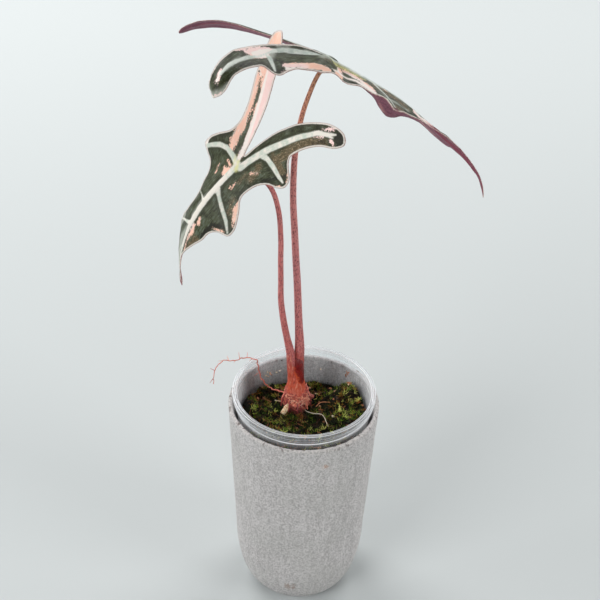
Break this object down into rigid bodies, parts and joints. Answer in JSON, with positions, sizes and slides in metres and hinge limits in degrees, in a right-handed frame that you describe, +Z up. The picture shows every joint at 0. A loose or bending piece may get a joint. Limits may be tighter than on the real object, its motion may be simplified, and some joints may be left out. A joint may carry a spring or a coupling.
{
  "type": "potted variegated alocasia nobilis",
  "caption": "Young variegated alocasia with long-lobed sagittate leaves on slender reddish petioles, rooted in moss in a clear grow cup inside a slim round-footed cement pot.",
  "frame": {"origin": "middle of the cement pot's flat base, on the surface it stands on", "axes": "+Z up along the pot's axis; -Y towards the viewer of the picture; +X towards the tip of the upper leaf"},
  "size_m": [0.1724, 0.1267, 0.423],
  "materials": {
    "cement": "matt, fine-grained light grey cement",
    "clear_plastic": "clear thin moulded plastic, smooth",
    "moss": "dark damp growing mix with moss",
    "crown_skin": "fibrous orange-red rootstock",
    "petiole_skin": "dusty brick-red stalk with fine dark flecks",
    "leaf_blade": "satin dark olive leaf with pale veins and cream-pink variegation, burgundy underside",
    "root": "thin tan root"
  },
  "bodies": {
    "root": {"cement_pot": "cement", "clear_cup": "clear_plastic", "moss_bed": "moss", "crown": "crown_skin", "front_petiole": "petiole_skin", "front_blade": "leaf_blade", "back_petiole": "petiole_skin", "back_blade": "leaf_blade", "loose_root": "root"}
  },
  "joints": []
}
